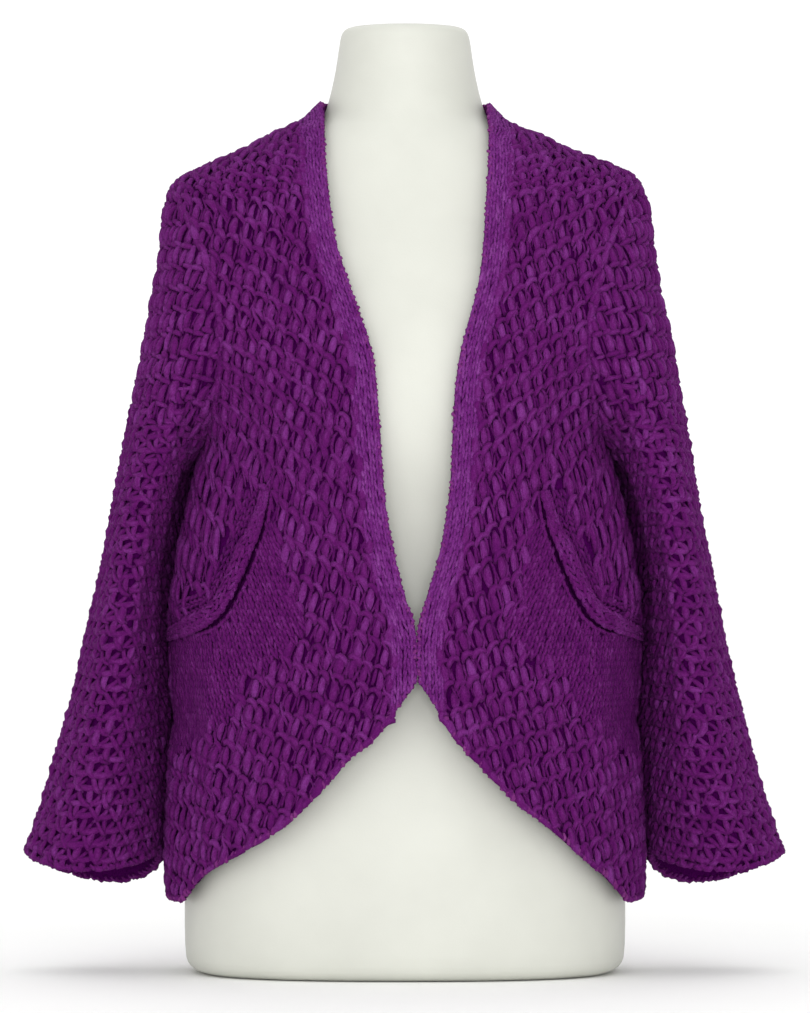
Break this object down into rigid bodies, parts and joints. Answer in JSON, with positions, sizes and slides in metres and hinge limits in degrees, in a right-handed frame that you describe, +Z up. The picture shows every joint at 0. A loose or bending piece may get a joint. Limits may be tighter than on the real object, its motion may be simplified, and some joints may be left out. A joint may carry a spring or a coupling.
{
  "type": "knitted shrug on dress form",
  "caption": "Chunky open-front knitted shrug with wide dolman sleeves, cutaway hem and slanted pockets, worn on a smooth white limbless dress form.",
  "frame": {"origin": "middle of the dress form's flat base, on the surface that it stands on", "axes": "+Z up along the form, the opening of the shrug faces -Y, +X to the wearer's left"},
  "size_m": [0.6054, 0.2884, 0.7565],
  "materials": {
    "form_cover": "smooth satin ivory cover",
    "tuck_knit": "chunky violet tuck-stitch knitting, soft and matt with a light fuzz",
    "stocking_knit": "violet stocking-stitch knitting, soft and matt"
  },
  "bodies": {
    "root": {"dress_form": "form_cover", "back": "tuck_knit", "front_right": "tuck_knit", "front_left": "tuck_knit", "sleeve_right": "tuck_knit", "sleeve_left": "tuck_knit", "front_band_right": "stocking_knit", "front_band_left": "stocking_knit", "pocket_panel_right": "stocking_knit", "pocket_panel_left": "stocking_knit", "pocket_band_right": "stocking_knit", "pocket_band_left": "stocking_knit"}
  },
  "joints": []
}
